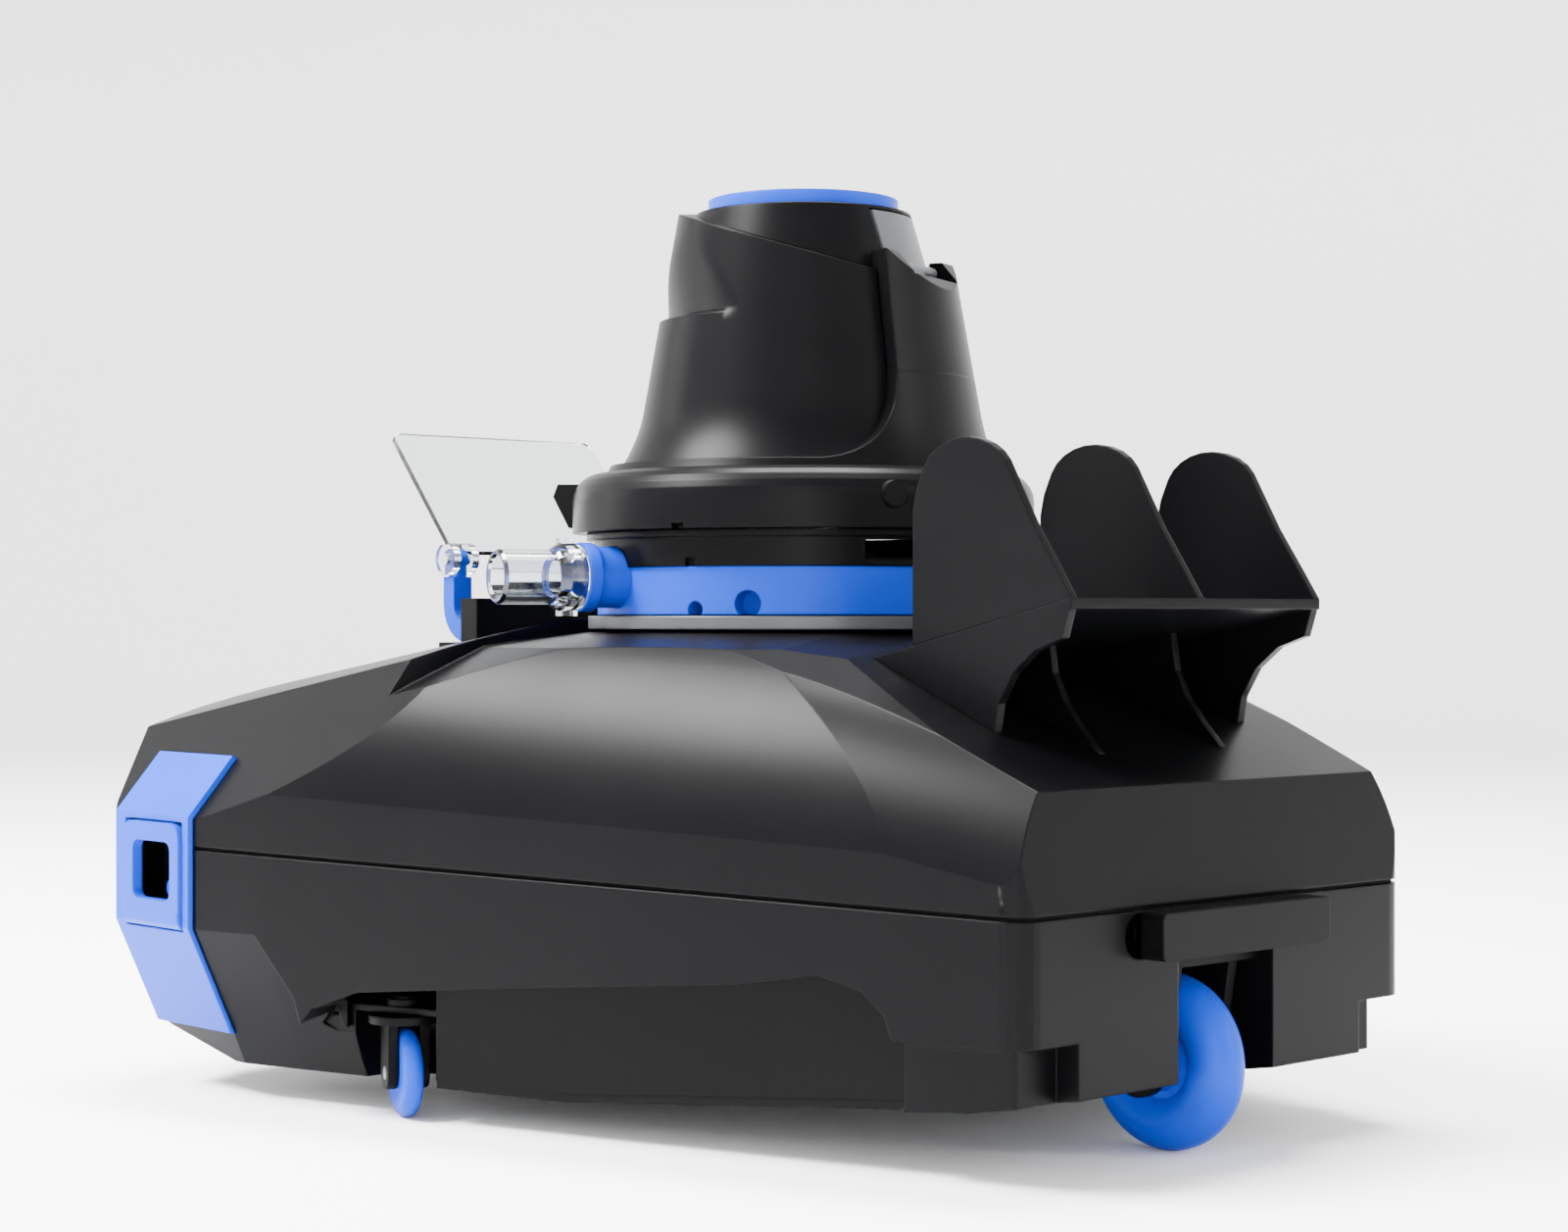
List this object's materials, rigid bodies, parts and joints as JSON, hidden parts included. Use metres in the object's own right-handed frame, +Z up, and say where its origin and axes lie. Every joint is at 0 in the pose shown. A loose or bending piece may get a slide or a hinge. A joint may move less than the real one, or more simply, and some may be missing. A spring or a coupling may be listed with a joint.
{
  "type": "pool cleaner",
  "caption": "Cordless jet-driven pool cleaner: delta hull with latched shells, swivelling pump turret with clear nozzle, finned tail wing, one rear and two front wheels.",
  "frame": {"origin": "on the turret axis at floor level, the middle of the underside of the bounding box", "axes": "+X to the tail, +Y to the cleaner's right-hand side as it drives nose first, +Z up"},
  "size_m": [0.358, 0.33, 0.2839],
  "materials": {
    "black_shell": "satin moulded ABS, fine spark-eroded grain",
    "black_trim": "matte moulded ABS",
    "blue_plastic": "satin-gloss moulded ABS, blue",
    "grey_plastic": "matte moulded ABS, grey",
    "clear_plastic": "clear moulded polycarbonate",
    "steel": "turned stainless steel",
    "rubber": "moulded silicone rubber",
    "filter_cloth": "fine nylon filter mesh",
    "cell_wrap": "heat-shrunk cell wrap",
    "board": "glass-epoxy circuit board"
  },
  "bodies": {
    "root": {"lower_hull": "black_shell", "upper_hull": "black_shell", "hull_seal": "rubber", "inlet_plate": "black_trim", "inlet_flap_pin": "steel", "filter_frame": "grey_plastic", "filter_mesh": "filter_cloth", "arch_liner_left": "black_trim", "arch_liner_right": "black_trim", "side_strip_left": "blue_plastic", "side_strip_right": "blue_plastic", "latch_pins": "steel", "latch_catches": "blue_plastic", "hull_screws": "steel", "rear_bar": "black_trim", "wheel_bracket": "black_trim", "rear_axle": "steel", "tail_wing": "black_shell", "tail_fins": "black_shell", "vane_base": "black_trim", "vane_brackets": "blue_plastic", "vane_pins": "steel", "seat_ring": "grey_plastic"},
    "turret": {"swivel_retainer": "black_trim", "platform_ring": "blue_plastic", "lower_ring": "black_shell", "nozzle_socket": "blue_plastic", "shaft_seal": "rubber", "motor": "steel", "battery_pack": "cell_wrap", "circuit_board": "board", "head_body": "black_shell", "head_cover": "black_shell", "top_cap": "black_shell", "top_ring": "blue_plastic", "port_cover_pin": "steel", "charging_socket": "black_trim", "retainer_screws": "steel"},
    "nozzle": {"jet_nozzle": "clear_plastic"},
    "impeller": {"impeller": "grey_plastic", "motor_shaft": "steel"},
    "port_cover": {"port_cover": "grey_plastic"},
    "rear_wheel": {"rear_wheel": "blue_plastic"},
    "front_fork_left": {"front_fork_left": "black_trim", "front_axle_left": "steel"},
    "front_fork_right": {"front_fork_right": "black_trim", "front_axle_right": "steel"},
    "front_wheel_left": {"front_wheel_left": "blue_plastic"},
    "front_wheel_right": {"front_wheel_right": "blue_plastic"},
    "latch_left": {"latch_left": "blue_plastic"},
    "latch_right": {"latch_right": "blue_plastic"},
    "inlet_flap": {"inlet_flap": "rubber"},
    "front_vane": {"front_vane": "clear_plastic"}
  },
  "joints": [
    {"name": "turret_swivel", "type": "hinge", "parent": "root", "child": "turret", "pos_m": [0, 0, 0.15], "axis": [0, 0, 1], "range_deg": [-240, 90]},
    {"name": "nozzle_twist", "type": "hinge", "parent": "turret", "child": "nozzle", "pos_m": [-0.02071, -0.07727, 0.163], "axis": [-0.2588, -0.9659, 0], "range_deg": [0, 60]},
    {"name": "impeller_spin", "type": "hinge", "parent": "turret", "child": "impeller", "pos_m": [0, 0, 0.16], "axis": [0, 0, 1], "continuous": true},
    {"name": "port_cover_hinge", "type": "hinge", "parent": "turret", "child": "port_cover", "pos_m": [0.03606, 0.01312, 0.2603], "axis": [-0.342, 0.9397, 0], "range_deg": [0, 80]},
    {"name": "rear_wheel_spin", "type": "hinge", "parent": "root", "child": "rear_wheel", "pos_m": [0.15, 0, 0.0253], "axis": [0, 1, 0], "continuous": true},
    {"name": "front_fork_left_swivel", "type": "hinge", "parent": "root", "child": "front_fork_left", "pos_m": [-0.041, -0.1265, 0.03], "axis": [0, 0, 1], "range_deg": [-30, 30]},
    {"name": "front_fork_right_swivel", "type": "hinge", "parent": "root", "child": "front_fork_right", "pos_m": [-0.041, 0.1265, 0.03], "axis": [0, 0, 1], "range_deg": [-30, 30]},
    {"name": "front_wheel_left_spin", "type": "hinge", "parent": "front_fork_left", "child": "front_wheel_left", "pos_m": [-0.041, -0.1265, 0.0135], "axis": [0.3746, 0.9272, 0], "continuous": true},
    {"name": "front_wheel_right_spin", "type": "hinge", "parent": "front_fork_right", "child": "front_wheel_right", "pos_m": [-0.041, 0.1265, 0.0135], "axis": [-0.3746, 0.9272, 0], "continuous": true},
    {"name": "latch_left_hinge", "type": "hinge", "parent": "root", "child": "latch_left", "pos_m": [-0.124, -0.162, 0.0562], "axis": [1, 0, 0], "range_deg": [0, 80]},
    {"name": "latch_right_hinge", "type": "hinge", "parent": "root", "child": "latch_right", "pos_m": [-0.124, 0.162, 0.0562], "axis": [-1, 0, 0], "range_deg": [0, 80]},
    {"name": "inlet_flap_hinge", "type": "hinge", "parent": "root", "child": "inlet_flap", "pos_m": [-0.021, 0, 0.0187], "axis": [0, 1, 0], "range_deg": [0, 70]},
    {"name": "front_vane_hinge", "type": "hinge", "parent": "root", "child": "front_vane", "pos_m": [-0.127, 0, 0.1705], "axis": [0, 1, 0], "range_deg": [-25, 45]}
  ]
}
